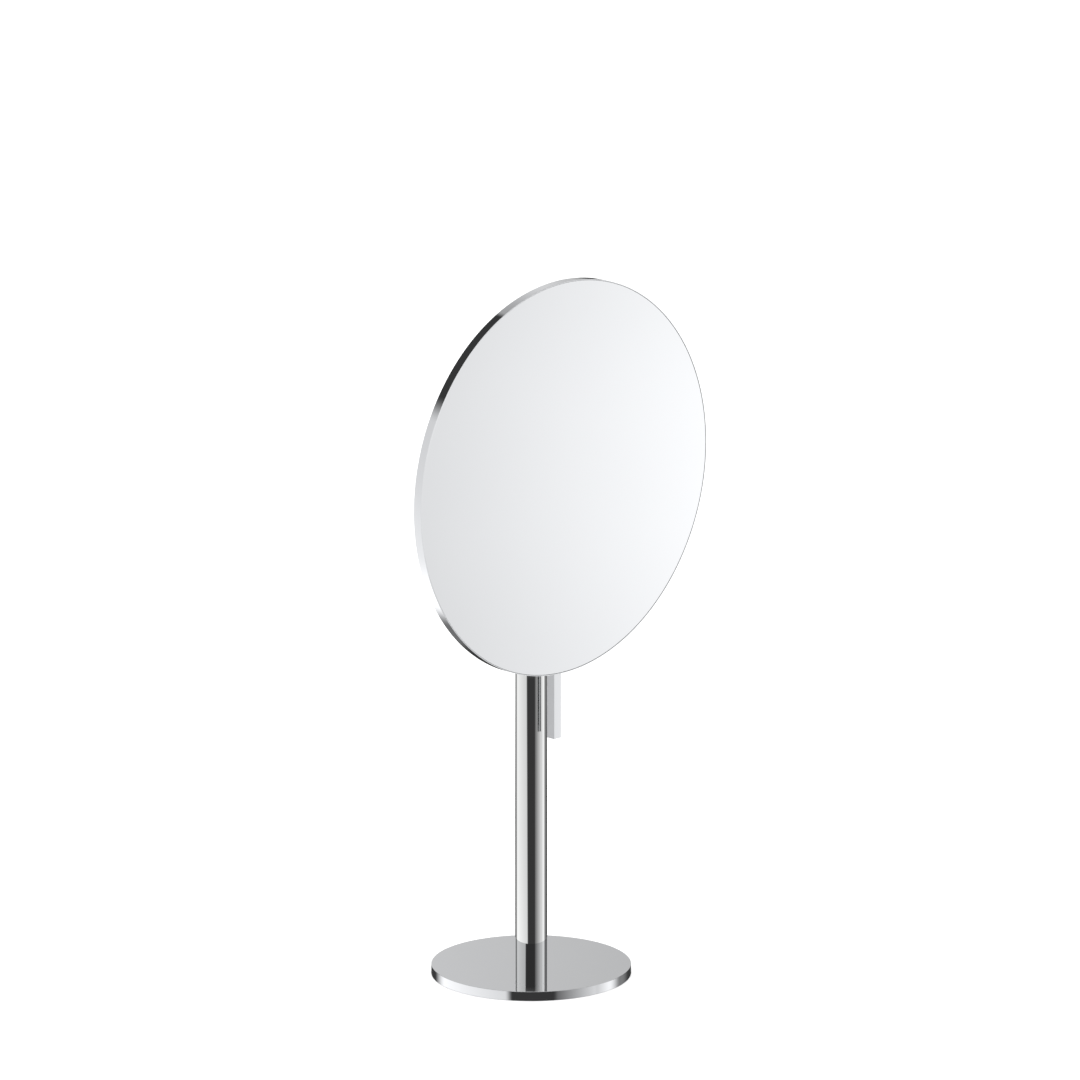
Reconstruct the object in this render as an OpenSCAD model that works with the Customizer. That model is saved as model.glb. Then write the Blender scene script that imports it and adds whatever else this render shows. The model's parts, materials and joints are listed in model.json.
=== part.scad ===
// Extendable shaving mirror on a free-standing round base.
// The origin is the centre of the pad's underside, +Z is up and the mirror faces -Y.
// Four groups move on each other: the stand, the riser, the swivel head and the mirror.

/* [Base] */
// Diameter of the base plate
base_d = 100; // [90:1:130]
// Thickness of the base plate
base_t = 4.8; // [4.5:0.1:8]
// How far the rubber pad stands below the plate
pad_proud = 0.1; // [0.1:0.1:1]
// Radius on the plate's top edge
base_edge = 0.2; // [0.1:0.1:1]

/* [Column] */
// Outer diameter of the column tube
column_d = 16; // [16:0.5:20]
// Wall of the column tube and of the riser tube
tube_wall = 1.5; // [1.5:0.1:1.6]
// How far the riser pulls out
travel = 80; // [40:1:85]

/* [Mirror] */
// Height of the mirror's centre with the riser down
mirror_z = 260.5; // [250:0.5:320]
// Outer diameter of the mirror
mirror_d = 200; // [160:1:220]
// Depth of the mirror's rim
mirror_t = 5; // [5:0.1:8]
// Distance from the column's axis to the mirror's front lip
mirror_reach = 23.7; // [23.7:0.1:28]
// Width of the lip around the glass
lip_w = 0.4; // [0.4:0.1:1]

/* [Handle bar] */
// Side of the square handle bar
bar_w = 5; // [4.5:0.1:5]
// How far the bar hangs below the mirror's rim
bar_tail = 35; // [20:0.5:60]

/* [Hidden] */
$fn = 96;

chrome = [0.80, 0.81, 0.82];
steel = [0.62, 0.63, 0.64];
brass = [0.72, 0.60, 0.36];
black = [0.08, 0.08, 0.09];
white = [0.90, 0.90, 0.88];
silvered = [0.88, 0.90, 0.91];

// Fits and gaps
run_gap = 0.05;   // radial gap of a running fit
face_gap = 0.05;  // gap between flat faces that turn on each other
stop_gap = 0.3;   // gap left where the moving groups meet at a stop
screw_gap = 0.2;  // radial gap of a screw in its clearance hole, or of a head in its recess
free_gap = 0.35;  // radial gap between pieces that turn on each other without touching
edge = 0.3;       // small chamfer on turned pieces
cut = 1;          // how far a cutting shape runs past the face that it opens

// Base, from the floor up
plate_z0 = pad_proud;
plate_z1 = plate_z0 + base_t;
pad_recess = 0.9;
pad_t = pad_proud + pad_recess;
pad_r = base_d / 2 - 4;
pad_hole_r = 12;
base_screw_r = 3;
base_head_r = 5.2;
base_head_t = 2.2;
base_recess_r = base_head_r + 0.6;
base_socket_r = 2.3;
base_socket_depth = 1.4;
base_washer_t = 0.6;
base_web_t = 1.5;
base_web_z = plate_z1 - base_web_t;
base_screw_len = 12;

// Column and its guide bush
column_r = column_d / 2;
bore_r = column_r - tube_wall;
bush_wall = 0.45;
riser_r = bore_r - bush_wall - run_gap;
fork_h = 30;
pivot_in_fork = 22.3;
fork_z0 = mirror_z - pivot_in_fork;
bush_z1 = fork_z0 - stop_gap;
bush_flange_t = 1.9;
column_z1 = bush_z1 - bush_flange_t;
bush_len = 28;
foot_len = 15;
foot_cap_t = 3;

// Riser, from its foot to its spigot
riser_bore_r = riser_r - tube_wall;
riser_z0 = column_z1 - bush_len - travel - stop_gap;
riser_foot_len = 13.7;
riser_plug_len = 12;
riser_foot_gap = 0.08;  // a running fit, a little looser than the bush
riser_foot_r = bore_r - riser_foot_gap;
ring_wire_r = 0.9;
ring_r = bore_r - run_gap - ring_wire_r;
ring_groove_r = ring_r - ring_wire_r - run_gap;
ring_groove_w = 2.2;
ring_pitch = 6;
glide_t = 0.45;
riser_z1 = fork_z0 - glide_t - face_gap;
spigot_shoulder = 0.5;
spigot_r = riser_bore_r - spigot_shoulder;
spigot_plug_len = 15;
spigot_depth_in_fork = 9.6;
spigot_z1 = fork_z0 + spigot_depth_in_fork;

// Swivel head
fork_top_edge = 0.6;
fork_bore_depth = 10;
web_z0 = fork_z0 + fork_bore_depth;
web_t = 2;
slot_z0 = web_z0 + web_t;
slot_back_y = 6.4;
lug_w = 4.5;
friction_washer_t = 0.5;
slot_w = lug_w + 2 * friction_washer_t + 2 * face_gap;
swivel_screw_r = 1.5;
swivel_head_r = 2.6;
swivel_head_t = 1.75;
swivel_spring_t = 0.4;
swivel_screw_depth = 7;
swivel_hole_depth = 8;
swivel_socket_r = 1.15;
swivel_socket_depth = 1;

// Tilt joint
pin_r = 2;
lug_r = 6;
friction_washer_r = 5.5;
ear_x = 4.9;
tilt_head_r = 3.5;
tilt_face_x = 7;
tilt_spring_t = 0.45;
screw_slot_w = 0.9;
screw_slot_depth = 0.8;
nut_notch = 0.6;

// Mirror, with depths measured forward from the column's axis
mirror_r = mirror_d / 2;
pan_back_t = 1.5;
pan_d0 = mirror_reach - mirror_t;
pan_d1 = pan_d0 + pan_back_t;
adhesive_t = 0.4;
glass_d0 = pan_d1 + adhesive_t;
glass_gap = 0.15;  // between the glass and the lip, and how far the glass lies below it
glass_d1 = mirror_reach - glass_gap;
glass_r = mirror_r - lip_w - glass_gap;
adhesive_r = glass_r - 4;
glass_bevel = 0.2;

// Handle bar and the screws that hold it to the mirror
bar_d0 = pan_d0 - bar_w;
bar_z0 = mirror_z - mirror_r - bar_tail;
bar_above_pivot = 18;
bar_z1 = mirror_z + bar_above_pivot;
bar_edge = 0.2;
arm_screw_inset = 12;     // from the pan's rim to the lowest screw
arm_screws_from_pivot = [12, -14];
arm_screw_zs = [
    mirror_z + arm_screws_from_pivot[0],
    mirror_z + arm_screws_from_pivot[1],
    mirror_z - mirror_r + arm_screw_inset
];
arm_screw_r = 1;
arm_head_r = 1.75;
arm_head_depth = 0.3;
arm_sink = 2;
arm_socket_r = 0.85;
arm_socket_depth = 1;

// A tube about Z between two radii
module tube(r_in, r_out, z0, z1) {
    rotate_extrude()
        translate([r_in, z0])
            square([r_out - r_in, z1 - z0]);
}

// A turned disc or rod about Z
module rod(r, z0, z1) {
    translate([0, 0, z0])
        cylinder(r = r, h = z1 - z0);
}

// A hexagon socket about Z, measured across its corners
module hex_socket(r, z0, z1) {
    translate([0, 0, z0])
        cylinder(r = r, h = z1 - z0, $fn = 6);
}

// Turns Z into X, at the tilt pivot
module along_pivot() {
    translate([0, 0, mirror_z])
        rotate([0, 90, 0])
            children();
}

// Turns Z into -Y, at the given height, so that a depth becomes a distance in front of the column
module facing_front(z) {
    translate([0, 0, z])
        rotate([90, 0, 0])
            children();
}

// Heavy round foot, recessed below for the pad and for the screw's head
module base_plate() {
    r = base_d / 2;
    round_steps = 6;
    bottom = [[0, plate_z0], [r - edge, plate_z0], [r, plate_z0 + edge]];
    top_round = [
        for (i = [0 : round_steps])
            let (a = 90 * i / round_steps)
                [r - base_edge + base_edge * cos(a), plate_z1 - base_edge + base_edge * sin(a)]
    ];
    color(chrome)
        difference() {
            rotate_extrude()
                polygon(concat(bottom, top_round, [[0, plate_z1]]));
            rod(pad_r + edge, plate_z0 - cut, pad_t);
            rod(base_recess_r, plate_z0 - cut, base_web_z);
            rod(base_screw_r + screw_gap, plate_z0 - cut, plate_z1 + cut);
        }
}

// Non-slip ring that the whole mirror stands on
module base_pad() {
    color(black)
        tube(pad_hole_r, pad_r, 0, pad_t);
}

// Screw that pulls the column down on the plate
module base_screw() {
    head_z1 = base_web_z - base_washer_t;
    head_z0 = head_z1 - base_head_t;
    color(steel)
        difference() {
            union() {
                rod(base_head_r, head_z0, head_z1);
                rod(base_screw_r - run_gap, head_z1, head_z1 + base_screw_len);
            }
            hex_socket(base_socket_r, head_z0 - cut, head_z0 + base_socket_depth);
        }
}

// Lock washer under the base screw's head
module base_washer() {
    color(steel)
        tube(base_screw_r + screw_gap, base_head_r, base_web_z - base_washer_t, base_web_z);
}

// Outer tube of the stand
module column_tube() {
    color(chrome)
        tube(bore_r, column_r, plate_z1, column_z1);
}

// Tapped plug pressed into the column's lower end
module column_foot() {
    color(steel)
        difference() {
            rod(bore_r, plate_z1, plate_z1 + foot_len);
            rod(base_screw_r, plate_z1 - cut, plate_z1 + foot_len - foot_cap_t);
        }
}

// Plastic bearing in the column's mouth, with a flange that the head comes down on
module guide_bush() {
    color(black)
        rotate_extrude()
            polygon([
                [riser_r + run_gap, column_z1 - bush_len],
                [bore_r, column_z1 - bush_len],
                [bore_r, column_z1],
                [column_r, column_z1],
                [column_r, bush_z1 - edge],
                [column_r - edge, bush_z1],
                [riser_r + run_gap, bush_z1]
            ]);
}

// Inner tube that slides out of the column
module riser_tube() {
    color(chrome)
        tube(riser_bore_r, riser_r, riser_z0, riser_z1);
}

// Guide piece on the riser's lower end, grooved for the drag rings
module riser_foot() {
    z0 = riser_z0 - riser_foot_len;
    color(white)
        difference() {
            union() {
                rod(riser_foot_r, z0, riser_z0);
                rod(riser_bore_r, riser_z0, riser_z0 + riser_plug_len);
            }
            for (z = drag_ring_heights())
                tube(ring_groove_r, bore_r + cut, z - ring_groove_w / 2, z + ring_groove_w / 2);
        }
}

// Heights of the two drag rings
function drag_ring_heights() =
    let (middle = riser_z0 - riser_foot_len / 2)
        [middle - ring_pitch / 2, middle + ring_pitch / 2];

// Rubber rings that hold the riser at any height
module drag_rings() {
    color(black)
        for (z = drag_ring_heights())
            rotate_extrude()
                translate([ring_r, z])
                    circle(r = ring_wire_r, $fn = 24);
}

// Plug pressed into the riser's top, with the pivot that the head turns on
module riser_spigot() {
    color(brass)
        difference() {
            union() {
                rod(riser_bore_r, riser_z1 - spigot_plug_len, riser_z1);
                rod(spigot_r, riser_z1, spigot_z1);
            }
            rod(swivel_screw_r, spigot_z1 - swivel_hole_depth, spigot_z1 + cut);
        }
}

// Slippery washer between the riser and the turning head
module glide_washer() {
    color(white)
        tube(spigot_r + run_gap, riser_r - run_gap, riser_z1, riser_z1 + glide_t);
}

// Screw that keeps the head on the spigot
module swivel_screw() {
    head_z0 = slot_z0 + face_gap + swivel_spring_t;
    head_z1 = head_z0 + swivel_head_t;
    color(steel)
        difference() {
            union() {
                rod(swivel_screw_r - run_gap, spigot_z1 - swivel_screw_depth, head_z0);
                rod(swivel_head_r, head_z0, head_z1);
            }
            hex_socket(swivel_socket_r, head_z1 - swivel_socket_depth, head_z1 + cut);
        }
}

// Spring washer that gives the swivel its drag
module swivel_spring_washer() {
    color(steel)
        translate([0, 0, slot_z0 + face_gap])
            tube(swivel_screw_r + run_gap, swivel_head_r, 0, swivel_spring_t);
}

// Head that turns on the riser and holds the tilt joint between its two ears
module head_fork() {
    z1 = fork_z0 + fork_h;
    half_w = column_r + cut;
    color(chrome)
        difference() {
            rotate_extrude()
                polygon([
                    [0, fork_z0],
                    [column_r - edge, fork_z0],
                    [column_r, fork_z0 + edge],
                    [column_r, z1 - fork_top_edge],
                    [column_r - fork_top_edge, z1],
                    [0, z1]
                ]);
            rod(spigot_r + run_gap, fork_z0 - cut, web_z0);
            rod(swivel_screw_r + free_gap, fork_z0 - cut, slot_z0 + cut);
            translate([-slot_w / 2, -half_w, slot_z0])
                cube([slot_w, half_w + slot_back_y, fork_h]);
            along_pivot() {
                rod(pin_r + run_gap, -half_w, half_w);
                rod(tilt_head_r + screw_gap, ear_x, half_w);
                rod(tilt_head_r + screw_gap, -half_w, -ear_x);
            }
        }
}

// Shouldered screw that is the axle of the tilt joint
module tilt_screw() {
    color(steel)
        along_pivot()
            difference() {
                union() {
                    rod(pin_r, -tilt_face_x + edge, ear_x);
                    rod(tilt_head_r, ear_x, tilt_face_x);
                }
                translate([-screw_slot_w / 2, -tilt_head_r - cut, tilt_face_x - screw_slot_depth])
                    cube([screw_slot_w, 2 * tilt_head_r + 2 * cut, screw_slot_depth + cut]);
            }
}

// Slotted round nut on the tilt screw's far end
module tilt_nut() {
    color(steel)
        along_pivot()
            difference() {
                tube(pin_r, tilt_head_r, -tilt_face_x, -ear_x - tilt_spring_t);
                for (side = [-1, 1])
                    translate([-screw_slot_w / 2, side * tilt_head_r - nut_notch, -tilt_face_x - cut])
                        cube([screw_slot_w, 2 * nut_notch, screw_slot_depth + cut]);
            }
}

// Spring washer that loads the tilt joint
module tilt_spring_washer() {
    color(steel)
        along_pivot()
            tube(pin_r + run_gap, tilt_head_r, -ear_x - tilt_spring_t, -ear_x);
}

// Tongue that turns between the ears and carries the handle bar
module tilt_lug() {
    color(chrome)
        difference() {
            union() {
                along_pivot()
                    rod(lug_r, -lug_w / 2, lug_w / 2);
                translate([-lug_w / 2, -bar_d0, mirror_z - lug_r])
                    cube([lug_w, bar_d0, 2 * lug_r]);
            }
            along_pivot()
                rod(pin_r + run_gap, -lug_w / 2 - cut, lug_w / 2 + cut);
        }
}

// Two washers that hold the mirror at any tilt
module friction_washers() {
    color(white)
        along_pivot()
            for (x0 = [-lug_w / 2 - friction_washer_t, lug_w / 2])
                tube(pin_r + screw_gap, friction_washer_r, x0, x0 + friction_washer_t);
}

// Square bar down the mirror's back, whose tail is the handle
module handle_bar() {
    h = bar_w / 2;
    color(chrome)
        difference() {
            translate([0, -bar_d0 - h, bar_z0])
                linear_extrude(height = bar_z1 - bar_z0)
                    polygon([
                        for (turn = [0 : 90 : 270])
                            for (corner = [[h, h - bar_edge], [h - bar_edge, h]])
                                [
                                    corner[0] * cos(turn) - corner[1] * sin(turn),
                                    corner[0] * sin(turn) + corner[1] * cos(turn)
                                ]
                    ]);
            for (z = arm_screw_zs)
                facing_front(z) {
                    rod(arm_head_r + 2 * run_gap, bar_d0 - cut, bar_d0 + arm_sink);
                    rod(arm_screw_r + 2 * run_gap, bar_d0 - cut, pan_d0 + cut);
                }
        }
}

// Screws sunk in the bar's back that hold the mirror pan
module arm_screws() {
    head_d0 = bar_d0 + arm_head_depth;
    color(steel)
        for (z = arm_screw_zs)
            facing_front(z)
                difference() {
                    union() {
                        rod(arm_head_r, head_d0, bar_d0 + arm_sink);
                        rod(arm_screw_r - run_gap, bar_d0 + arm_sink, pan_d1);
                    }
                    hex_socket(arm_socket_r, head_d0 - cut, head_d0 + arm_socket_depth);
                }
}

// Shallow metal pan that holds the glass and shows as its thin rim
module mirror_pan() {
    color(chrome)
        difference() {
            facing_front(mirror_z)
                rotate_extrude()
                    polygon([
                        [0, pan_d0],
                        [mirror_r - edge, pan_d0],
                        [mirror_r, pan_d0 + edge],
                        [mirror_r, mirror_reach - edge / 2],
                        [mirror_r - edge / 2, mirror_reach],
                        [mirror_r - lip_w, mirror_reach],
                        [mirror_r - lip_w, pan_d1],
                        [0, pan_d1]
                    ]);
            for (z = arm_screw_zs)
                facing_front(z)
                    rod(arm_screw_r, pan_d0 - cut, pan_d1 + cut);
        }
}

// Layer that bonds the glass to the pan
module adhesive_pad() {
    color(white)
        facing_front(mirror_z)
            rod(adhesive_r, pan_d1, glass_d0);
}

// Flat mirror glass, silvered on its back, with its front edge taken off
module mirror_glass() {
    color(silvered)
        facing_front(mirror_z)
            rotate_extrude()
                polygon([
                    [0, glass_d0],
                    [glass_r, glass_d0],
                    [glass_r, glass_d1 - glass_bevel],
                    [glass_r - glass_bevel, glass_d1],
                    [0, glass_d1]
                ]);
}

base_plate();
base_pad();
base_screw();
base_washer();
column_tube();
column_foot();
guide_bush();
riser_tube();
riser_foot();
drag_rings();
riser_spigot();
glide_washer();
swivel_screw();
swivel_spring_washer();
head_fork();
tilt_screw();
tilt_nut();
tilt_spring_washer();
tilt_lug();
friction_washers();
handle_bar();
arm_screws();
mirror_pan();
adhesive_pad();
mirror_glass();
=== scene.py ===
"""Extendable shaving mirror: smooth meshes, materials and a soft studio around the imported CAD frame.

Blender units are metres. The frame's origin is the middle of the base pad's underside, +Z is up and the
mirror faces -Y.
"""
import json
import math

import bmesh
import bpy
from mathutils import Matrix, Vector


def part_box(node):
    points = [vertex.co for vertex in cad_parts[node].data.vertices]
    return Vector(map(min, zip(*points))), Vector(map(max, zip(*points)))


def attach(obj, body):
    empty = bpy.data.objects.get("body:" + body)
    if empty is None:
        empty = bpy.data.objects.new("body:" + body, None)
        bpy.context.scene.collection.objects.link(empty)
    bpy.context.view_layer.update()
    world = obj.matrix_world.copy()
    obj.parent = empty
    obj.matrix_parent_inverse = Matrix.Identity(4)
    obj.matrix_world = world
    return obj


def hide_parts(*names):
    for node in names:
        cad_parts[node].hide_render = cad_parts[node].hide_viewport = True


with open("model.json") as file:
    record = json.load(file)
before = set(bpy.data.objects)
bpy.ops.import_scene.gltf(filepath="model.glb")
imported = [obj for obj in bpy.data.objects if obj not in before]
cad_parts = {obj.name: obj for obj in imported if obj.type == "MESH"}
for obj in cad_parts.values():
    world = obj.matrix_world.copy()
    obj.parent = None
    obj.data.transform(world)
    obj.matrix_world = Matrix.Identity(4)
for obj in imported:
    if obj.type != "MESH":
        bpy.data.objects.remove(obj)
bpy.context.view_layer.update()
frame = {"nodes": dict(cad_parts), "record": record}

MM = 0.001
RECORD = frame["record"]
NODE_BODY = {node: body for body, nodes in RECORD["behaviour"]["bodies"].items() for node in nodes}
NODE_SLOT = {part["node"]: part["material_slot"] for part in RECORD["subparts"]}
JOINTS = {joint["name"]: joint for joint in RECORD["behaviour"]["joints"]}

# ---------------------------------------------------------------- camera

CAMERA_AZIMUTH = math.radians(-44.83)
CAMERA_REACH = 7.514          # horizontal distance from the column's axis
CAMERA_HEIGHT = 2.2408        # above the floor
AIM_HEIGHT = 0.2242           # where the view's centre meets the column
AIM_RIGHT = 0.0044            # how far the view's centre lies to the column's right
LENS_MM = 521.9
SENSOR_MM = 36.0
CLIP_NEAR, CLIP_FAR = 0.1, 40.0


def direction(azimuth, elevation=0.0):
    """Unit vector from the object towards an azimuth and elevation, in radians."""
    level = math.cos(elevation)
    return Vector((math.sin(azimuth) * level, -math.cos(azimuth) * level, math.sin(elevation)))


def make_camera():
    """Long lens from the front left, a little above."""
    camera = bpy.data.objects.new("camera", bpy.data.cameras.new("camera"))
    bpy.context.scene.collection.objects.link(camera)
    camera.data.lens = LENS_MM
    camera.data.sensor_width = SENSOR_MM
    camera.data.clip_start = CLIP_NEAR
    camera.data.clip_end = CLIP_FAR
    towards = direction(CAMERA_AZIMUTH)
    right = Vector((0, 0, 1)).cross(towards)
    aim = right * AIM_RIGHT + Vector((0, 0, AIM_HEIGHT))
    camera.location = towards * CAMERA_REACH + Vector((0, 0, CAMERA_HEIGHT))
    camera.rotation_euler = (aim - camera.location).to_track_quat("-Z", "Y").to_euler()
    bpy.context.scene.camera = camera


# ---------------------------------------------------------------- node helpers

class Nodes:
    """A short way to build one shader's node tree."""

    def __init__(self, name, world=False):
        self.owner = bpy.data.worlds.new(name) if world else bpy.data.materials.new(name)
        self.owner.use_nodes = True
        self.tree = self.owner.node_tree
        self.tree.nodes.clear()

    def add(self, kind, sockets=None, **settings):
        """Adds a node, sets its properties, and fills its sockets with values or with other sockets."""
        node = self.tree.nodes.new(kind)
        for key, value in settings.items():
            setattr(node, key, value)
        for key, value in (sockets or {}).items():
            if isinstance(value, bpy.types.NodeSocket):
                self.tree.links.new(value, node.inputs[key])
            else:
                node.inputs[key].default_value = value
        return node

    def math(self, operation, *values):
        """One Math node's result."""
        return self.add("ShaderNodeMath", dict(enumerate(values)), operation=operation).outputs[0]

    def ramp(self, value, low, high, out_low=0.0, out_high=1.0, smooth=True):
        """Maps a value from low..high to out_low..out_high, clamped."""
        node = self.add(
            "ShaderNodeMapRange",
            {"Value": value, "From Min": low, "From Max": high, "To Min": out_low, "To Max": out_high},
            interpolation_type="SMOOTHSTEP" if smooth else "LINEAR",
        )
        return node.outputs["Result"]

    def window(self, value, low, high, soft_low, soft_high):
        """1 between low and high, fading to 0 inside each end."""
        rise = self.ramp(value, low, low + soft_low)
        return self.math("MULTIPLY", rise, self.ramp(value, high - soft_high, high, 1, 0))

    def product(self, first, *others):
        """All the values multiplied together."""
        for other in others:
            first = self.math("MULTIPLY", first, other)
        return first

    def coords(self):
        """Object coordinates, in metres."""
        return self.add("ShaderNodeTexCoord").outputs["Object"]

    def axes(self, vector):
        """A vector's x, y and z."""
        return self.add("ShaderNodeSeparateXYZ", {0: vector}).outputs

    def noise(self, vector, scale, detail=3.0, roughness=0.5):
        """Noise from 0 to 1, with its scale in cells per metre."""
        node = self.add(
            "ShaderNodeTexNoise",
            {"Vector": vector, "Scale": scale, "Detail": detail, "Roughness": roughness},
        )
        return node.outputs["Fac"]


# ---------------------------------------------------------------- materials

def principled(n, base, roughness, metallic=0.0, bump=None, **sockets):
    """Finishes a material with a Principled shader. bump is a height socket and a distance in metres."""
    values = {"Base Color": base, "Roughness": roughness, "Metallic": metallic, **sockets}
    if bump:
        height, distance = bump
        normal = n.add("ShaderNodeBump", {"Height": height, "Distance": distance, "Strength": 1.0})
        values["Normal"] = normal.outputs["Normal"]
    shader = n.add("ShaderNodeBsdfPrincipled", values)
    n.add("ShaderNodeOutputMaterial", {"Surface": shader.outputs["BSDF"]})
    return n.owner


MIX_A, MIX_B, MIX_RESULT = 6, 7, 2   # the Mix node's colour sockets


def mixed_colour(n, factor, dark, light):
    """A colour between two, by a factor socket."""
    mix = n.add("ShaderNodeMix", {"Factor": factor}, data_type="RGBA")
    mix.inputs[MIX_A].default_value = (*dark, 1.0)
    mix.inputs[MIX_B].default_value = (*light, 1.0)
    return mix.outputs[MIX_RESULT]


def plating(name, dark, light):
    """Bright plating, nearly clean: faint wipe marks and a little haze in patches."""
    n = Nodes(name)
    spot = n.coords()
    haze = n.noise(spot, 55.0, 4.0)
    wiped = n.add("ShaderNodeMapping", {"Vector": spot, "Scale": (9.0, 9.0, 1.0)}).outputs[0]
    marks = n.noise(wiped, 160.0, 5.0, 0.7)
    colour = mixed_colour(n, haze, dark, light)
    worn = n.math("MULTIPLY", n.ramp(haze, 0.4, 0.75), n.ramp(marks, 0.5, 0.7))
    roughness = n.ramp(worn, 0.0, 1.0, 0.006, 0.035)
    return principled(n, colour, roughness, 1.0)


def chrome_plate():
    """The plate's and the pan's plating, a touch cool."""
    return plating("chrome_plate", (0.636, 0.644, 0.660), (0.648, 0.656, 0.671))


def chrome_tube():
    """The tubes' and the head's plating, a touch warmer."""
    return plating("chrome_tube", (0.633, 0.637, 0.634), (0.645, 0.649, 0.646))


def chrome_flanks():
    """The bar's plating: bright on the front and back; on the flanks a satin roughness from drawing and
    painted shade, a darker colour picked by the normal's direction.
    """
    n = Nodes("chrome_flanks")
    texture = n.add("ShaderNodeTexCoord").outputs
    sideways = n.math("ABSOLUTE", n.axes(texture["Normal"])[0])
    flank_satin_and_shade = n.ramp(sideways, 0.8, 0.95)
    drawn = n.add("ShaderNodeMapping", {"Vector": texture["Object"], "Scale": (1.0, 1.0, 0.02)}).outputs[0]
    lines = n.noise(drawn, 9000.0, 4.0, 0.6)
    satin = n.ramp(lines, 0.3, 0.7, 0.30, 0.42)
    # painted shade: the flanks get a darker colour than the front and back, picked by which way the face
    # points
    colour = mixed_colour(n, flank_satin_and_shade, (0.642, 0.650, 0.665), (0.402, 0.407, 0.418))
    roughness = n.math("MULTIPLY_ADD", flank_satin_and_shade, satin, 0.012)
    return principled(n, colour, roughness, 1.0)


def stainless_steel():
    """Turned screws and washers: a fine grain of tool marks under a satin finish."""
    n = Nodes("stainless_steel")
    spot = n.coords()
    grain = n.noise(spot, 2500.0, 2.0)
    patches = n.noise(spot, 300.0, 3.0)
    colour = mixed_colour(n, patches, (0.56, 0.56, 0.56), (0.66, 0.65, 0.64))
    roughness = n.ramp(grain, 0.3, 0.7, 0.20, 0.30)
    return principled(n, colour, roughness, 1.0, bump=(grain, 1e-6))


def brass_bar():
    """Turned brass with a light tarnish."""
    n = Nodes("brass_bar")
    spot = n.coords()
    tarnish = n.noise(spot, 400.0, 4.0)
    grain = n.noise(spot, 3000.0, 2.0)
    colour = mixed_colour(n, tarnish, (0.62, 0.43, 0.19), (0.83, 0.64, 0.34))
    roughness = n.ramp(tarnish, 0.3, 0.7, 0.18, 0.34)
    return principled(n, colour, roughness, 1.0, bump=(grain, 3e-6))


def black_rubber():
    """Matt rubber with a fine moulded grain and a little dust."""
    n = Nodes("black_rubber")
    spot = n.coords()
    grain = n.noise(spot, 3500.0, 3.0, 0.6)
    dust = n.noise(spot, 120.0, 5.0, 0.65)
    colour = mixed_colour(n, n.ramp(dust, 0.5, 0.8), (0.018, 0.018, 0.019), (0.045, 0.044, 0.042))
    roughness = n.ramp(dust, 0.3, 0.8, 0.72, 0.9)
    return principled(n, colour, roughness, bump=(grain, 2e-5))


def black_plastic():
    """Turned acetal, close to satin."""
    n = Nodes("black_plastic")
    spot = n.coords()
    grain = n.noise(spot, 2600.0, 3.0)
    shade = n.noise(spot, 250.0, 3.0)
    colour = mixed_colour(n, shade, (0.022, 0.022, 0.024), (0.036, 0.036, 0.038))
    roughness = n.ramp(grain, 0.3, 0.7, 0.36, 0.5)
    return principled(n, colour, roughness, bump=(grain, 6e-6))


def white_plastic():
    """Natural acetal: milky, waxy and slightly see-through."""
    n = Nodes("white_plastic")
    spot = n.coords()
    grain = n.noise(spot, 2600.0, 3.0)
    shade = n.noise(spot, 250.0, 3.0)
    colour = mixed_colour(n, shade, (0.74, 0.74, 0.71), (0.82, 0.82, 0.79))
    roughness = n.ramp(grain, 0.3, 0.7, 0.32, 0.45)
    return principled(n, colour, roughness, bump=(grain, 5e-6))


def adhesive_foam():
    """Pale foam bond with small open cells."""
    n = Nodes("adhesive_foam")
    spot = n.coords()
    cells = n.add("ShaderNodeTexVoronoi", {"Vector": spot, "Scale": 1800.0}).outputs["Distance"]
    colour = mixed_colour(n, n.ramp(cells, 0.0, 0.6), (0.62, 0.61, 0.58), (0.80, 0.79, 0.76))
    return principled(n, colour, 0.85, bump=(cells, 4e-5))


def silvered_glass():
    """Mirror glass: an even silvering under clear glass, with the faintest cleaning haze."""
    n = Nodes("silvered_glass")
    spot = n.coords()
    haze = n.noise(spot, 18.0, 5.0)
    colour = mixed_colour(n, haze, (0.678, 0.686, 0.700), (0.690, 0.698, 0.711))
    roughness = n.ramp(haze, 0.45, 0.8, 0.0, 0.012)
    return principled(n, colour, roughness, 1.0)


MATERIALS = {
    make.__name__: make()
    for make in (
        chrome_plate, chrome_tube, chrome_flanks, stainless_steel, brass_bar, black_rubber, black_plastic,
        white_plastic, adhesive_foam, silvered_glass,
    )
}


def coat(obj, finish):
    """Gives an object one material. Most have the name of one of the record's material slots."""
    obj.data.materials.clear()
    obj.data.materials.append(MATERIALS[finish])


# ---------------------------------------------------------------- mesh helpers

ROUND = 256                   # sides of a turned piece
RIM_SIDES = 384               # sides of the pan and the glass
FILLET_STEPS = 5
ON_AXIS = 1e-9                # radii below this are the axis itself
SAME_PLACE = 1e-8             # vertices nearer than this are one
BEVEL_ANGLE = math.radians(35)   # soften() rounds the edges that turn more than this
SHARP_ANGLE = math.radians(32)   # shade() keeps the edges sharp that turn more than this
FACE_WEIGHT = 80              # above 50, large faces count more than small ones in smooth normals


def rounded(corners):
    """Turns corners (r, z) or (r, z, fillet) into a profile for lathe(). Its two ends stay sharp."""
    points = []
    for i, corner in enumerate(corners):
        here = Vector(corner[:2])
        if len(corner) == 2 or i in (0, len(corners) - 1):
            points.append(here)
            continue
        back = (Vector(corners[i - 1][:2]) - here).normalized()
        ahead = (Vector(corners[i + 1][:2]) - here).normalized()
        half = back.angle(ahead) / 2
        cut = corner[2] / math.tan(half)
        centre = here + (back + ahead).normalized() * corner[2] / math.sin(half)
        start = here + back * cut - centre
        turn = start.angle_signed(here + ahead * cut - centre)
        for step in range(FILLET_STEPS + 1):
            points.append(centre + Matrix.Rotation(-turn * step / FILLET_STEPS, 2) @ start)
    return points


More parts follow.
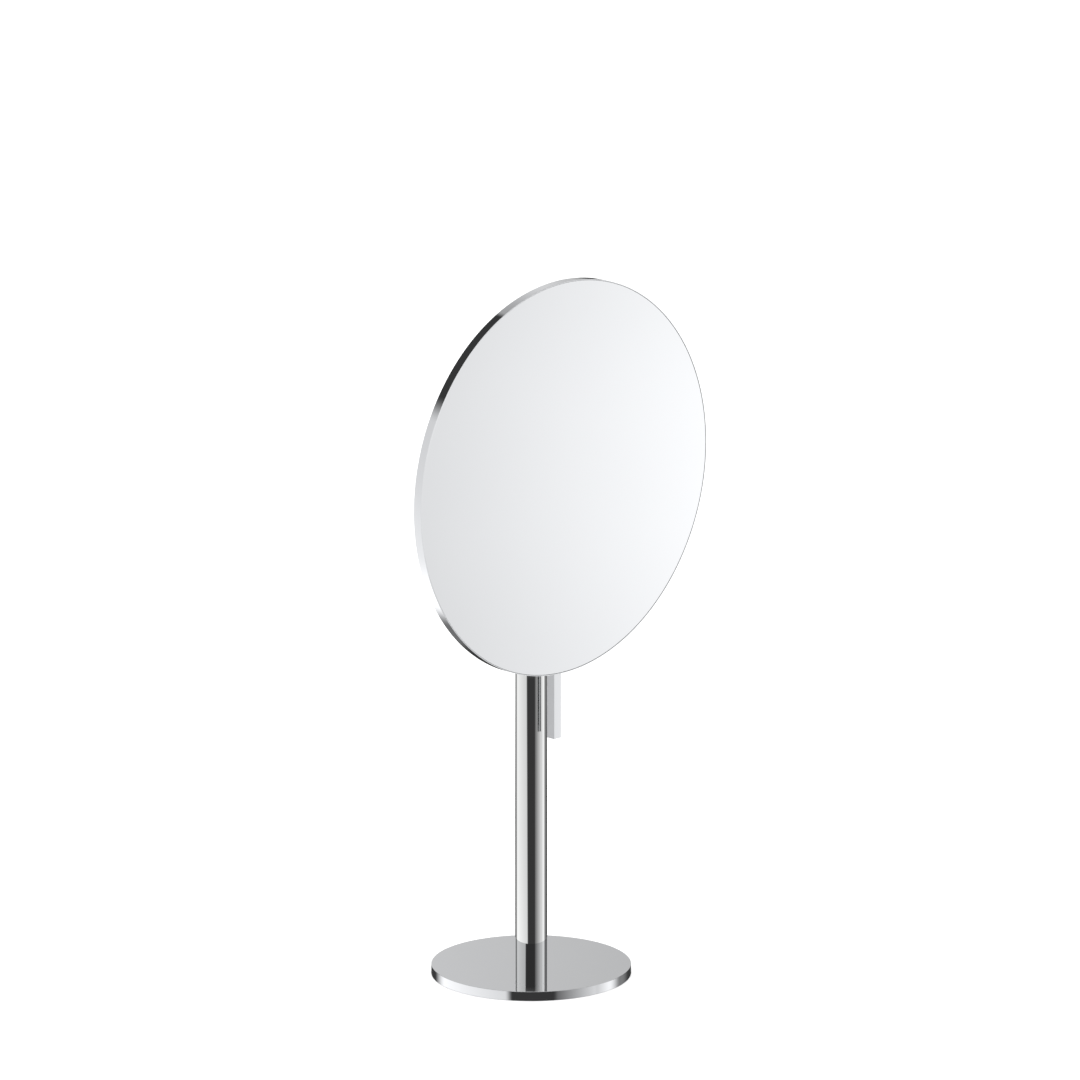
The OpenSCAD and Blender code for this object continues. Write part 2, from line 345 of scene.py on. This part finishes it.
def rounded_ring(corners):
    """The same for a profile that goes round to its first corner, which stays sharp."""
    return rounded([*corners, corners[0]])[:-1]


def new_object(name, bm):
    """Makes a linked object of a bmesh, with its faces turned outwards."""
    bmesh.ops.remove_doubles(bm, verts=bm.verts, dist=SAME_PLACE)
    bmesh.ops.recalc_face_normals(bm, faces=bm.faces)
    mesh = bpy.data.meshes.new(name)
    bm.to_mesh(mesh)
    bm.free()
    obj = bpy.data.objects.new(name, mesh)
    bpy.context.scene.collection.objects.link(obj)
    return obj


def lathe(name, profile, sides=ROUND):
    """Turns a profile of (r, z) points about Z. It starts and ends on the axis, or it is closed here."""
    bm = bmesh.new()
    on_axis = profile[0][0] < ON_AXIS
    points = list(profile) if on_axis else [*profile, profile[0]]
    rings = []
    for r, z in points:
        if r < ON_AXIS:
            rings.append([bm.verts.new((0, 0, z))])
        else:
            angles = [math.tau * k / sides for k in range(sides)]
            rings.append([bm.verts.new((r * math.cos(a), r * math.sin(a), z)) for a in angles])
    for low, high in zip(rings, rings[1:]):
        for k in range(sides):
            after = (k + 1) % sides
            quad = [low[k % len(low)], low[after % len(low)], high[after % len(high)], high[k % len(high)]]
            corners = list(dict.fromkeys(quad))
            if len(corners) > 2:
                bm.faces.new(corners)
    return new_object(name, bm)


def prism(name, outline, z0, z1):
    """Extrudes a flat outline of (x, y) points from z0 to z1."""
    bm = bmesh.new()
    low = [bm.verts.new((x, y, z0)) for x, y in outline]
    high = [bm.verts.new((x, y, z1)) for x, y in outline]
    bm.faces.new(low)
    bm.faces.new(high)
    for k in range(len(outline)):
        after = (k + 1) % len(outline)
        bm.faces.new([low[k], low[after], high[after], high[k]])
    return new_object(name, bm)


def block(name, low, high):
    """A box between two corners, used to cut other pieces."""
    outline = [(low[0], low[1]), (high[0], low[1]), (high[0], high[1]), (low[0], high[1])]
    return prism(name, outline, low[2], high[2])


def disc_outline(r, sides):
    """The points of a circle, or of a regular polygon."""
    return [(r * math.cos(math.tau * k / sides), r * math.sin(math.tau * k / sides)) for k in range(sides)]


def turn_mesh(obj, matrix):
    """Moves an object's mesh and leaves the object at the origin."""
    obj.data.transform(matrix)
    obj.data.update()
    return obj


ALONG_X = Matrix.Rotation(math.pi / 2, 4, "Y")
FACING_FRONT = Matrix.Rotation(math.pi / 2, 4, "X")


def at_height(z, turn=Matrix.Identity(4)):
    """Turns about the origin, then lifts to z."""
    return Matrix.Translation((0, 0, z)) @ turn


def apply_modifiers(obj):
    """Bakes an object's modifiers into its mesh."""
    bpy.context.view_layer.update()
    evaluated = obj.evaluated_get(bpy.context.evaluated_depsgraph_get())
    mesh = bpy.data.meshes.new_from_object(evaluated)
    obj.modifiers.clear()
    obj.data = mesh


def cut_away(obj, *cutters):
    """Takes the cutters out of an object and deletes them."""
    for cutter in cutters:
        modifier = obj.modifiers.new("cut", "BOOLEAN")
        modifier.operation = "DIFFERENCE"
        modifier.solver = "EXACT"
        modifier.object = cutter
    apply_modifiers(obj)
    for cutter in cutters:
        bpy.data.objects.remove(cutter)
    return obj


def soften(obj, width, segments=2):
    """Rounds an object's sharp edges."""
    modifier = obj.modifiers.new("soften", "BEVEL")
    modifier.width = width
    modifier.segments = segments
    modifier.limit_method = "ANGLE"
    modifier.angle_limit = BEVEL_ANGLE
    modifier.use_clamp_overlap = True
    apply_modifiers(obj)
    return obj


def shade(obj):
    """Smooth shading that keeps flat faces flat and sharp edges sharp."""
    mesh = obj.data
    mesh.polygons.foreach_set("use_smooth", [True] * len(mesh.polygons))
    mesh.set_sharp_from_angle(angle=SHARP_ANGLE)
    modifier = obj.modifiers.new("even_normals", "WEIGHTED_NORMAL")
    modifier.keep_sharp = True
    modifier.weight = FACE_WEIGHT
    apply_modifiers(obj)


def join(name, objects):
    """Joins objects into one."""
    bm = bmesh.new()
    for obj in objects:
        bm.from_mesh(obj.data)
        bpy.data.objects.remove(obj)
    return new_object(name, bm)


def place(obj, node, finish=None):
    """Lets a mesh stand for a CAD node, on its body and with its slot's material or another finish."""
    shade(obj)
    coat(obj, finish or NODE_SLOT[node])
    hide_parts(node)
    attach(obj, NODE_BODY[node])


# ---------------------------------------------------------------- the mirror's pieces

PIVOT_Z = JOINTS["mirror_tilt"]["pos_m"][2]
ARM_SCREW_ZS = [PIVOT_Z + up * MM for up in (12, -14, -88)]
GLASS_GAP = 0.15 * MM         # between the glass and the pan's lip
AXLE_R, AXLE_BORE_R, AXLE_HEAD_R = 2 * MM, 2.05 * MM, 3.5 * MM
EAR_X = 4.9 * MM              # how far out the head's ears carry the axle's head and nut
TUBE_OUTER_EDGE, TUBE_INNER_EDGE = 0.12 * MM, 0.1 * MM
PAST = 1 * MM                 # how far a cutter runs past the face that it opens

# Sides of smaller turned pieces and of bores
HEAD_SIDES, SMALL_ROUND, TINY_ROUND = 192, 128, 96
WIDE_BORE, BORE, NARROW_BORE, HEXAGON = 96, 64, 48, 6


def make_base_plate():
    """Round plate, hollowed below for the pad and the screw's head."""
    low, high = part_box("base_plate")
    pad_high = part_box("base_pad")[1]
    washer_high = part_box("base_washer")[1]
    r = high.x
    pad_r = pad_high.x + 0.3 * MM
    recess_r = washer_high.x + 0.6 * MM
    hole_r = 3.2 * MM
    inner_edge, lower_edge, upper_edge = 0.1 * MM, 0.08 * MM, 0.14 * MM
    profile = rounded([
        (hole_r, washer_high.z),
        (recess_r, washer_high.z, inner_edge),
        (recess_r, pad_high.z, inner_edge),
        (pad_r, pad_high.z, inner_edge),
        (pad_r, low.z, lower_edge),
        (r, low.z, lower_edge),
        (r, high.z, upper_edge),
        (hole_r, high.z),
    ])
    place(lathe("base_plate_turned", profile), "base_plate")


def make_base_pad():
    """Rubber ring with round grooves in the face that it stands on."""
    low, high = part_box("base_pad")
    hole_r, r = 12 * MM, high.x
    groove_w, groove_depth, pitch = 1.0 * MM, 0.25 * MM, 4 * MM
    hole_edge, groove_edge, groove_foot, outer_edge = 0.15 * MM, 0.1 * MM, 0.08 * MM, 0.2 * MM
    corners = [(hole_r, high.z), (hole_r, low.z, hole_edge)]
    groove_r = hole_r + pitch
    while groove_r < r - pitch / 2:
        corners += [
            (groove_r - groove_w / 2, low.z, groove_edge),
            (groove_r - groove_w / 4, low.z + groove_depth, groove_foot),
            (groove_r + groove_w / 4, low.z + groove_depth, groove_foot),
            (groove_r + groove_w / 2, low.z, groove_edge),
        ]
        groove_r += pitch
    corners += [(r, low.z, outer_edge), (r, high.z)]
    place(lathe("base_pad_moulded", rounded(corners)), "base_pad")


def make_base_screw():
    """Low-headed socket screw."""
    low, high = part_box("base_screw")
    head_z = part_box("base_washer")[0].z
    head_r, shank_r = high.x, 2.95 * MM
    head_edge, neck_edge, tip_edge = 0.4 * MM, 0.1 * MM, 0.5 * MM
    profile = rounded([
        (0, low.z),
        (head_r, low.z, head_edge),
        (head_r, head_z, neck_edge),
        (shank_r, head_z, neck_edge),
        (shank_r, high.z, tip_edge),
        (0, high.z),
    ])
    screw = lathe("base_screw_turned", profile, SMALL_ROUND)
    socket_r, socket_depth = 2.3 * MM, 1.4 * MM
    socket = prism("base_screw_socket", disc_outline(socket_r, HEXAGON), low.z - PAST, low.z + socket_depth)
    place(soften(cut_away(screw, socket), width=0.08 * MM), "base_screw")


def make_column_tube():
    """Drawn tube, cut sharp at its foot and dressed at its mouth."""
    low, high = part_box("column_tube")
    bore_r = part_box("column_foot")[1].x
    profile = rounded_ring([
        (bore_r, low.z),
        (high.x, low.z),
        (high.x, high.z, TUBE_OUTER_EDGE),
        (bore_r, high.z, TUBE_INNER_EDGE),
    ])
    place(lathe("column_tube_drawn", profile), "column_tube", "chrome_tube")


def make_guide_bush():
    """Plastic bearing, whose flange closes the column's mouth."""
    low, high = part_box("guide_bush")
    column_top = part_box("column_tube")[1].z
    column_bore_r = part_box("column_foot")[1].x
    bore_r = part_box("riser_tube")[1].x + 0.05 * MM
    foot_edge, neck_edge, flange_edge = 0.12 * MM, 0.05 * MM, 0.15 * MM
    crown_edge, bore_edge = 0.35 * MM, 0.2 * MM
    profile = rounded_ring([
        (bore_r, low.z),
        (column_bore_r, low.z, foot_edge),
        (column_bore_r, column_top, neck_edge),
        (high.x, column_top, flange_edge),
        (high.x, high.z, crown_edge),
        (bore_r, high.z, bore_edge),
    ])
    place(lathe("guide_bush_turned", profile), "guide_bush")


def make_riser_tube():
    """The thinner tube that pulls out of the column."""
    low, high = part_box("riser_tube")
    bore_r = high.x - 1.5 * MM
    profile = rounded_ring([
        (bore_r, low.z),
        (high.x, low.z, TUBE_INNER_EDGE),
        (high.x, high.z, TUBE_OUTER_EDGE),
        (bore_r, high.z, TUBE_INNER_EDGE),
    ])
    place(lathe("riser_tube_drawn", profile), "riser_tube", "chrome_tube")


def make_head_fork():
    """Round head, slotted from the front for the tongue and drilled across for the axle."""
    low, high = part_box("head_fork")
    r, slot_x, slot_back, slot_floor = high.x, 2.8 * MM, 6.4 * MM, low.z + 12 * MM
    spigot_bore_r, spigot_bore_depth, screw_bore_r = 4.05 * MM, 10 * MM, 1.85 * MM
    sink_r, overrun = 3.7 * MM, 2 * PAST
    foot_edge, crown_edge = 0.3 * MM, 0.6 * MM
    blank = lathe("head_fork_milled", rounded([
        (0, low.z),
        (r, low.z, foot_edge),
        (r, high.z, crown_edge),
        (0, high.z),
    ]), HEAD_SIDES)
    slot = block("slot", (-slot_x, -r - overrun, slot_floor), (slot_x, slot_back, high.z + overrun))
    spigot_bore = prism(
        "spigot_bore", disc_outline(spigot_bore_r, WIDE_BORE), low.z - overrun, low.z + spigot_bore_depth
    )
    screw_bore = prism("screw_bore", disc_outline(screw_bore_r, BORE), low.z, slot_floor + PAST)
    across = [
        prism("axle_bore", disc_outline(AXLE_BORE_R, BORE), -r - overrun, r + overrun),
        prism("sink_right", disc_outline(sink_r, WIDE_BORE), EAR_X, r + overrun),
        prism("sink_left", disc_outline(sink_r, WIDE_BORE), -r - overrun, -EAR_X),
    ]
    for bore in across:
        turn_mesh(bore, at_height(PIVOT_Z, ALONG_X))
    cut_away(blank, slot, spigot_bore, screw_bore, *across)
    place(soften(blank, width=0.15 * MM, segments=3), "head_fork", "chrome_tube")


def make_tilt_lug():
    """Tongue with a round end, turning between the head's ears."""
    low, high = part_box("tilt_lug")
    r, arc_steps = high.y, 48
    angles = [math.pi * k / arc_steps for k in range(arc_steps + 1)]
    outline = [(r * math.cos(a), r * math.sin(a)) for a in angles]
    outline += [(-r, low.y), (r, low.y)]
    lug = prism("tilt_lug_milled", outline, low.x, high.x)
    cut_away(lug, prism("lug_bore", disc_outline(AXLE_BORE_R, BORE), low.x - PAST, high.x + PAST))
    turn_mesh(lug, at_height(PIVOT_Z, ALONG_X))
    place(soften(lug, width=0.25 * MM, segments=3), "tilt_lug")


def make_tilt_screw():
    """Shouldered axle with a slotted, slightly domed head."""
    low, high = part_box("tilt_screw")
    tip_edge, neck_edge, under_edge, dome = 0.3 * MM, 0.08 * MM, 0.1 * MM, 0.55 * MM
    profile = rounded([
        (0, low.x),
        (AXLE_R, low.x, tip_edge),
        (AXLE_R, EAR_X, neck_edge),
        (AXLE_HEAD_R, EAR_X, under_edge),
        (AXLE_HEAD_R, high.x, dome),
        (0, high.x),
    ])
    screw = lathe("tilt_screw_turned", profile, SMALL_ROUND)
    slot_w, slot_depth = 0.9 * MM, 0.8 * MM
    across = 2 * AXLE_HEAD_R
    slot = block("slot", (-slot_w / 2, -across, high.x - slot_depth), (slot_w / 2, across, 2 * high.x))
    screw = soften(cut_away(screw, slot), width=0.06 * MM)
    place(turn_mesh(screw, at_height(PIVOT_Z, ALONG_X)), "tilt_screw")


def make_tilt_nut():
    """Round nut with two notches for a pin key."""
    low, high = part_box("tilt_nut")
    r, notch_w, notch_in, notch_depth = AXLE_HEAD_R, 0.9 * MM, 0.6 * MM, 0.8 * MM
    dome, under_edge = 0.45 * MM, 0.1 * MM
    profile = rounded_ring([
        (AXLE_R, low.x),
        (r, low.x, dome),
        (r, high.x, under_edge),
        (AXLE_R, high.x, under_edge),
    ])
    nut = lathe("tilt_nut_turned", profile, SMALL_ROUND)
    notch_z = low.x + notch_depth
    notches = [
        block("notch", (-notch_w / 2, min(near, far), 2 * low.x), (notch_w / 2, max(near, far), notch_z))
        for near, far in ((r - notch_in, 2 * r), (-r + notch_in, -2 * r))
    ]
    nut = soften(cut_away(nut, *notches), width=0.05 * MM)
    place(turn_mesh(nut, at_height(PIVOT_Z, ALONG_X)), "tilt_nut")


def make_handle_bar():
    """Square bar with three screw recesses in its back."""
    low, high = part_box("handle_bar")
    bar = block("handle_bar_drawn", low, high)
    back, front = -high.y, -low.y
    recess_r, recess_depth, hole_r = 1.85 * MM, 2 * MM, 1.1 * MM
    cutters = []
    for z in ARM_SCREW_ZS:
        facing = at_height(z, FACING_FRONT)
        recess = prism("recess", disc_outline(recess_r, BORE), back - PAST, back + recess_depth)
        cutters.append(turn_mesh(recess, facing))
        hole = prism("hole", disc_outline(hole_r, NARROW_BORE), back + PAST, front + PAST)
        cutters.append(turn_mesh(hole, facing))
    cut_away(bar, *cutters)
    place(soften(bar, width=0.15 * MM, segments=3), "handle_bar", "chrome_flanks")


def make_arm_screws():
    """Three small socket screws, sunk in the bar's back."""
    low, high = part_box("arm_screws")
    head_r, shank_r, head_t = 1.75 * MM, 0.95 * MM, 1.7 * MM
    head_edge, neck_edge, tip_edge = 0.25 * MM, 0.08 * MM, 0.2 * MM
    socket_r, socket_depth = 0.85 * MM, 1 * MM
    back, tip = -high.y, -low.y
    screws = []
    for z in ARM_SCREW_ZS:
        screw = lathe("arm_screw", rounded([
            (0, back),
            (head_r, back, head_edge),
            (head_r, back + head_t, neck_edge),
            (shank_r, back + head_t, neck_edge),
            (shank_r, tip, tip_edge),
            (0, tip),
        ]), TINY_ROUND)
        socket = prism("socket", disc_outline(socket_r, HEXAGON), back - PAST, back + socket_depth)
        screw = soften(cut_away(screw, socket), width=0.05 * MM)
        screws.append(turn_mesh(screw, at_height(z, FACING_FRONT)))
    place(join("arm_screws_turned", screws), "arm_screws")


def make_mirror_pan():
    """Shallow dish, whose thin lip stands a little in front of the glass with a fine gap round it."""
    low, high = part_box("mirror_pan")
    r, lip_r = high.x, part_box("mirror_glass")[1].x + GLASS_GAP
    back, front, floor = -high.y, -low.y, -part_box("adhesive_pad")[1].y
    back_edge, lip_outer, lip_inner, floor_edge = 0.3 * MM, 0.08 * MM, 0.03 * MM, 0.2 * MM
    profile = rounded([
        (0, back),
        (r, back, back_edge),
        (r, front, lip_outer),
        (lip_r, front, lip_inner),
        (lip_r, floor, floor_edge),
        (0, floor),
    ])
    pan = lathe("mirror_pan_spun", profile, RIM_SIDES)
    place(turn_mesh(pan, at_height(PIVOT_Z, FACING_FRONT)), "mirror_pan")


def make_mirror_glass():
    """Round glass with its edges just taken off."""
    low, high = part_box("mirror_glass")
    back_edge, front_edge = 0.1 * MM, 0.05 * MM
    profile = rounded([
        (0, -high.y),
        (high.x, -high.y, back_edge),
        (high.x, -low.y, front_edge),
        (0, -low.y),
    ])
    glass = lathe("mirror_glass_ground", profile, RIM_SIDES)
    place(turn_mesh(glass, at_height(PIVOT_Z, FACING_FRONT)), "mirror_glass")


def dress_cad_nodes():
    """Gives the CAD nodes their materials, for those that no smooth piece replaces."""
    for name, obj in frame["nodes"].items():
        coat(obj, NODE_SLOT[name])


# ---------------------------------------------------------------- studio

FLOOR_R, FLOOR_THICKNESS = 18.0, 2 * MM
LAMP_ACROSS, LAMP_HEIGHT, LAMP_WATTS = 3.0, 4.0, 120.0
TENT_R, TENT_HEIGHT = 0.65, 0.15
TENT_DARK = 0.055             # the tent's glow between its panels
CARD_R, CARD_LOW, CARD_HIGH = 0.25, 0.087, 0.47
STUDIO_SIDES = 96


def make_floor():
    """Pale round floor that fills the view and isn't seen in reflections."""
    profile = [(0, -FLOOR_THICKNESS), (FLOOR_R, -FLOOR_THICKNESS), (FLOOR_R, 0), (0, 0)]
    floor = lathe("floor", profile, STUDIO_SIDES)
    n = Nodes("pale_floor")
    tone = n.noise(n.coords(), 3.0, 4.0)
    colour = mixed_colour(n, tone, (0.90, 0.90, 0.90), (0.915, 0.915, 0.915))
    floor.data.materials.append(principled(n, colour, 0.9))
    floor.visible_glossy = False


def make_world():
    """Even white surroundings, which light the floor. The tent stands in for them in reflections."""
    n = Nodes("studio", world=True)
    light = n.add("ShaderNodeBackground", {"Color": (1.0, 1.0, 1.0, 1.0), "Strength": 1.0})
    n.add("ShaderNodeOutputWorld", {"Surface": light.outputs["Background"]})
    n.owner.cycles_visibility.glossy = False
    bpy.context.scene.world = n.owner


def make_lamp():
    """A broad lamp overhead that lifts the floor to white."""
    data = bpy.data.lights.new("overhead", "AREA")
    data.shape = "DISK"
    data.size = LAMP_ACROSS
    data.energy = LAMP_WATTS
    lamp = bpy.data.objects.new("overhead", data)
    bpy.context.scene.collection.objects.link(lamp)
    lamp.location.z = LAMP_HEIGHT
    lamp.visible_glossy = False


def show_in_reflections(obj, n, light):
    """Makes a studio panel clear and glowing, turned to the camera and seen only in reflections."""
    glow = n.add("ShaderNodeEmission", {"Strength": light}).outputs[0]
    clear = n.add("ShaderNodeBsdfTransparent").outputs[0]
    both = n.add("ShaderNodeAddShader", {0: glow, 1: clear}).outputs[0]
    n.add("ShaderNodeOutputMaterial", {"Surface": both})
    n.owner.cycles.emission_sampling = "NONE"
    obj.data.materials.append(n.owner)
    obj.rotation_euler.z = CAMERA_AZIMUTH
    obj.visible_camera = False
    obj.visible_diffuse = False
    obj.visible_shadow = False
    obj.visible_transmission = False


# A panel is a product of ramps over degrees. Bearings count from the camera's side, positive to the right,
# and heights from the tent's middle up.

def bearing_from(n, xyz):
    """Degrees round the object from the camera's side, positive to the right."""
    return n.math("DEGREES", n.math("ARCTAN2", xyz[0], n.math("MULTIPLY", xyz[1], -1.0)))


def left_panel(n, bearing, height):
    """Broad panel on the left, for the left sides of the column, the plate's rim and the pan's rim."""
    outer_start = n.ramp(height, -43, -33, -134, -143)
    outer_end = n.ramp(height, -43, -36, -109, -113)
    inner_edge = n.math("MULTIPLY_ADD", height, -0.5, -38.5)
    return n.product(
        n.ramp(bearing, -120, -30, 1.25, 0.86, smooth=False),
        n.ramp(height, -30, 40, 1.12, 0.84, smooth=False),
        n.ramp(height, -40, -22, 1.3, 1.0),
        n.ramp(height, -5, 12, 1.0, 0.95),
        n.ramp(bearing, outer_start, outer_end),
        n.ramp(n.math("SUBTRACT", bearing, inner_edge), -5, 4, 1, 0),
        n.window(height, -62, 43.5, 8, 10),
    )


def lower_corner(n, bearing, height):
    """Dim patch behind the left panel, low down, for the lower end of the pan's rim."""
    return n.product(
        0.17,
        n.ramp(bearing, -163, -146),
        n.ramp(bearing, -134, -122, 1, 0),
        n.window(height, -62, -36, 8, 5),
    )


def right_panel(n, bearing, height):
    """Broad panel on the right, for the mirror's face and the right sides of the column and the plate."""
    off_middle = n.math("ABSOLUTE", n.math("ADD", height, 4.5))
    fade = n.math("MULTIPLY", n.ramp(bearing, 74, 80), n.ramp(off_middle, 2, 10, 0.0, -0.05))
    return n.product(
        n.ramp(bearing, 27, 75, 0.11, 0.96, smooth=False),
        n.ramp(bearing, 80, 97, 1.0, 1.50, smooth=False),
        n.ramp(bearing, 99, 121, 1.0, 0.18),
        n.ramp(bearing, 124, 148, 1.0, 0.0),
        n.ramp(bearing, 24, 30),
        n.math("ADD", fade, 1.0),
        n.window(height, -62, 44, 10, 8),
    )


def back_panels(n, x, away, height):
    """Two panels behind, brighter to the left: a low one for the plate's top, and a high one for the top of
    the pan's rim and for views from higher up."""
    from_left = n.math("MULTIPLY_ADD", x, -0.55, 0.67)
    low = n.product(from_left, n.ramp(away, 147, 152), n.window(height, -22, 14, 9, 5))
    high = n.product(
        from_left,
        n.ramp(away, 147, 152),
        n.ramp(height, 28, 41, 1.0, 1.22),
        n.ramp(height, 42, 62, 1.0, 0.4),
        n.window(height, 15, 64, 13, 4),
    )
    return low, high


def other_panels(n, away, height):
    """Panels for the other views and poses: high on the camera's side, overhead and underfoot."""
    front = n.product(0.6, n.ramp(away, 62, 74, 1, 0), n.window(height, 10, 60, 14, 8))
    top = n.product(0.9, n.ramp(height, 67, 77))
    bottom = n.product(0.9, n.ramp(height, -68, -58, 1, 0))
    return front, top, bottom


def make_tent():
    """Light tent of panels round the object. Between them it is dark and clear."""
    bm = bmesh.new()
    bmesh.ops.create_uvsphere(bm, u_segments=STUDIO_SIDES, v_segments=STUDIO_SIDES // 2, radius=TENT_R)
    tent = new_object("light_tent", bm)
    tent.location.z = TENT_HEIGHT
    n = Nodes("tent_panels")
    unit = n.add("ShaderNodeVectorMath", {0: n.coords()}, operation="NORMALIZE").outputs[0]
    xyz = n.axes(unit)
    bearing = bearing_from(n, xyz)
    away = n.math("ABSOLUTE", bearing)
    height = n.math("DEGREES", n.math("ARCSINE", xyz[2]))
    total = TENT_DARK
    for light in (
        left_panel(n, bearing, height),
        lower_corner(n, bearing, height),
        right_panel(n, bearing, height),
        *back_panels(n, xyz[0], away, height),
        *other_panels(n, away, height),
    ):
        total = n.math("ADD", total, light)
    show_in_reflections(tent, n, total)


def make_front_card():
    """Round card on the camera's side, for the mirror to face in the other views. It is close and high
    enough for the column and the base to see past it from the camera."""
    tall = CARD_HIGH - CARD_LOW
    fade_low, fade_high = 0.016, 0.04
    bm = bmesh.new()
    bmesh.ops.create_cone(bm, segments=STUDIO_SIDES, radius1=CARD_R, radius2=CARD_R, depth=tall)
    card = new_object("front_card", bm)
    card.location.z = (CARD_LOW + CARD_HIGH) / 2
    n = Nodes("front_card")
    xyz = n.axes(n.coords())
    bearing = bearing_from(n, xyz)
    light = n.product(
        n.ramp(bearing, -30, 60, 1.0, 0.55, smooth=False),
        n.ramp(bearing, -50, -34),
        n.ramp(bearing, 30, 69, 1, 0),
        n.window(xyz[2], -tall / 2, tall / 2, fade_low, fade_high),
    )
    show_in_reflections(card, n, light)


# ---------------------------------------------------------------- the scene

for step in (
    make_camera, dress_cad_nodes,
    make_base_plate, make_base_pad, make_base_screw, make_column_tube, make_guide_bush, make_riser_tube,
    make_head_fork, make_tilt_lug, make_tilt_screw, make_tilt_nut,
    make_handle_bar, make_arm_screws, make_mirror_pan, make_mirror_glass,
    make_floor, make_world, make_lamp, make_tent, make_front_card,
):
    step()
bpy.context.scene.view_settings.view_transform = "Standard"
